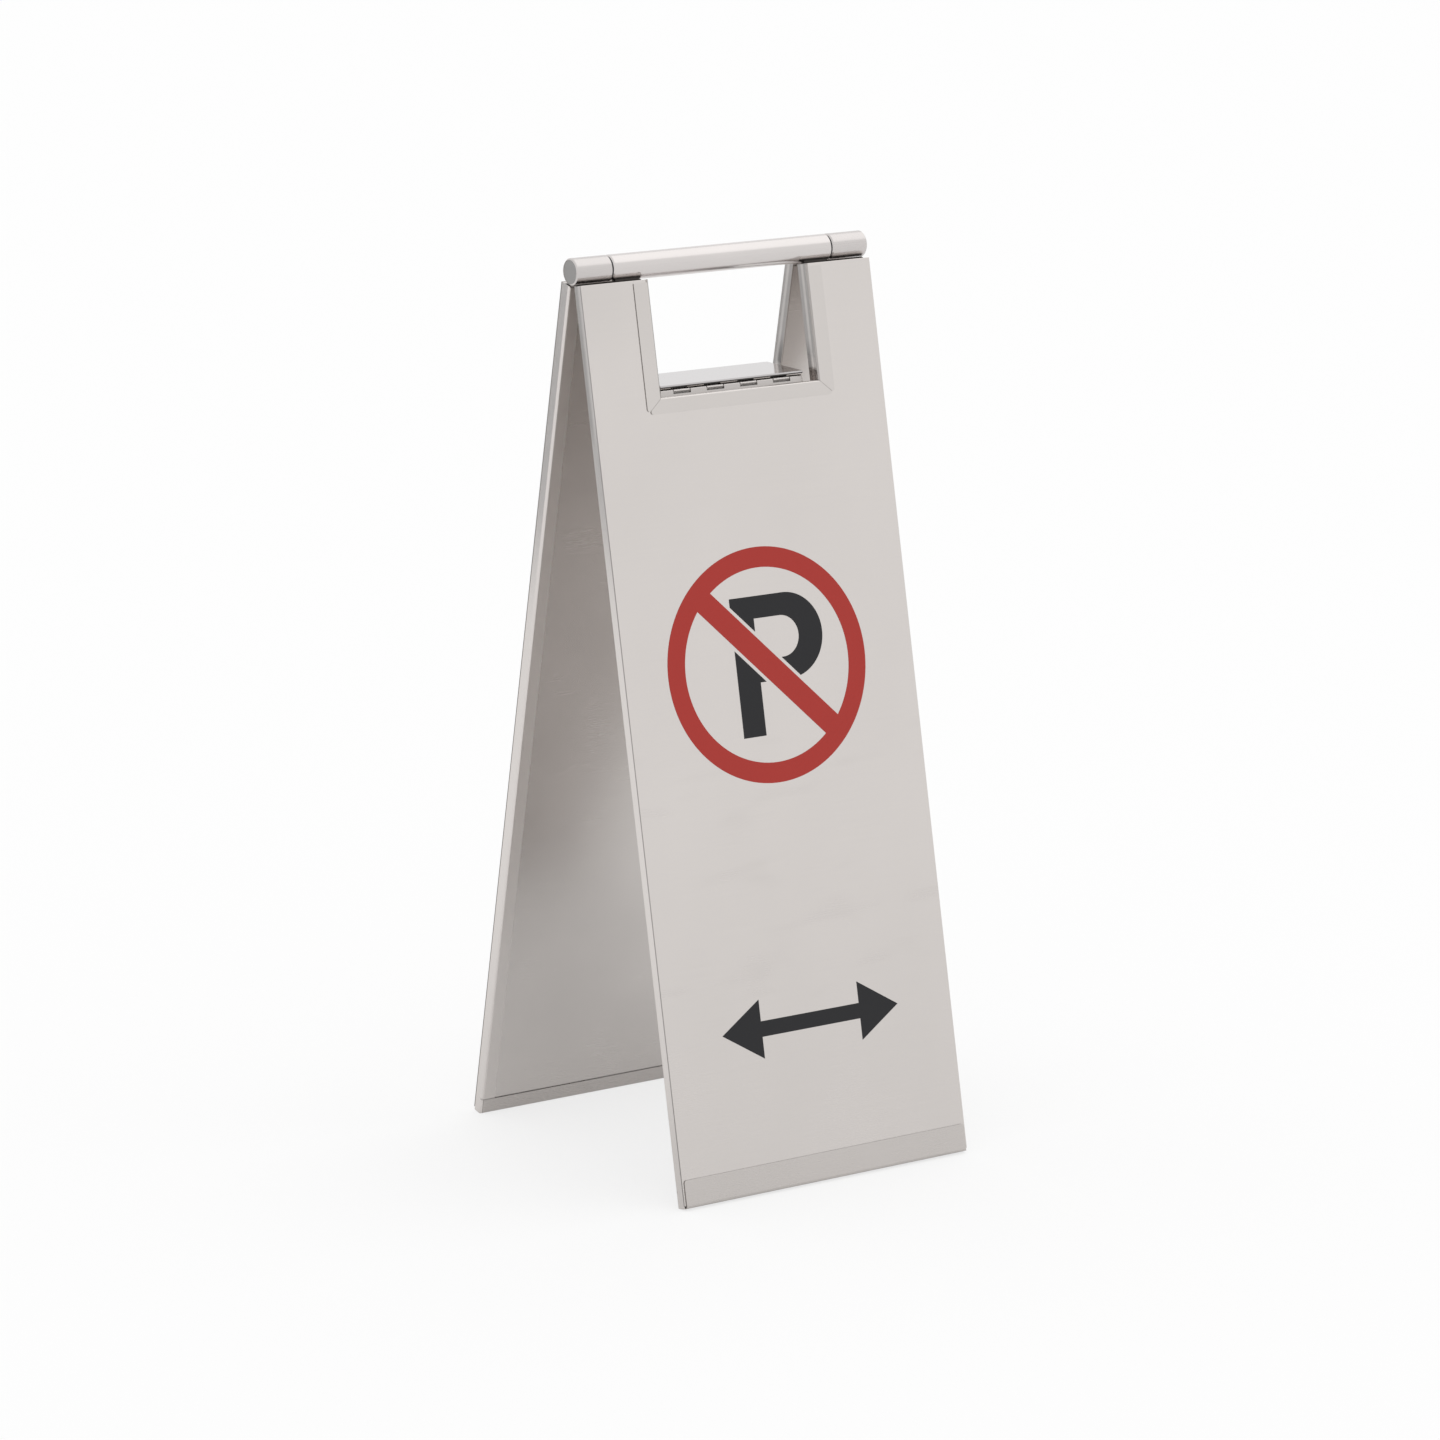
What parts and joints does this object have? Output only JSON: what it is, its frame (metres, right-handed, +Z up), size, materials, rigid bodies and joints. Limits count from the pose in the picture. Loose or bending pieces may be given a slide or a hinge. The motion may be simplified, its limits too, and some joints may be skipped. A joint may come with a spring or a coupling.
{
  "type": "folding floor sign",
  "caption": "Folding floor sign of brushed steel sheet: hollow leaves on a carrying-tube hinge, with a hand window, a hinged stay plate and a printed ring with a slanted bar.",
  "frame": {"origin": "on the floor, at the centre between the two leaves, straight below the carrying tube", "axes": "+Z up, +X along the carrying tube, the printed front of the front leaf faces -Y"},
  "size_m": [0.2216, 0.2582, 0.5898],
  "materials": {
    "face_steel": "satin brushed across the leaf",
    "tray_steel": "satin brushed along the leaf",
    "hem_steel": "satin brushed",
    "trim_steel": "satin brushed",
    "tube_steel": "satin, brushed round",
    "plug_steel": "faced",
    "hinge_steel": "bright",
    "pin_steel": "dark drawn wire",
    "stay_steel": "polished",
    "inner_steel": "mill",
    "bush_plastic": "moulded",
    "red_print": "printed film",
    "black_print": "printed film"
  },
  "bodies": {
    "front_leaf": {"front_outer_skin": "face_steel", "front_inner_skin": "tray_steel", "front_hem": "hem_steel", "front_sill_trim": "trim_steel", "front_left_jamb_trim": "trim_steel", "front_right_jamb_trim": "trim_steel", "front_left_stiffener": "inner_steel", "front_right_stiffener": "inner_steel", "front_left_strap": "inner_steel", "front_right_strap": "inner_steel", "front_ring_film": "red_print", "front_letter_film": "black_print", "front_arrow_film": "black_print", "middle_tube": "tube_steel", "left_bush": "bush_plastic", "right_bush": "bush_plastic", "fixed_hinge_leaf": "hinge_steel", "leaf_rivets": "hinge_steel", "stay_hinge_pin": "pin_steel"},
    "back_leaf": {"back_outer_skin": "face_steel", "back_inner_skin": "tray_steel", "back_hem": "hem_steel", "back_sill_trim": "trim_steel", "back_left_jamb_trim": "trim_steel", "back_right_jamb_trim": "trim_steel", "back_left_stiffener": "inner_steel", "back_right_stiffener": "inner_steel", "back_left_strap": "inner_steel", "back_right_strap": "inner_steel", "back_ring_film": "red_print", "back_letter_film": "black_print", "back_arrow_film": "black_print", "left_end_knuckle": "tube_steel", "right_end_knuckle": "tube_steel", "hinge_rod": "inner_steel", "left_end_plug": "plug_steel", "right_end_plug": "plug_steel", "catch_bar": "trim_steel"},
    "stay": {"stay_plate": "stay_steel", "moving_hinge_leaf": "hinge_steel"}
  },
  "joints": [
    {"name": "fold", "type": "hinge", "parent": "front_leaf", "child": "back_leaf", "pos_m": [0, 0, 0.58115], "axis": [-1, 0, 0], "range_deg": [0, 23.1]},
    {"name": "stay_fold", "type": "hinge", "parent": "front_leaf", "child": "stay", "pos_m": [0, -0.01486, 0.50116], "axis": [1, 0, 0], "range_deg": [0, 80]}
  ]
}
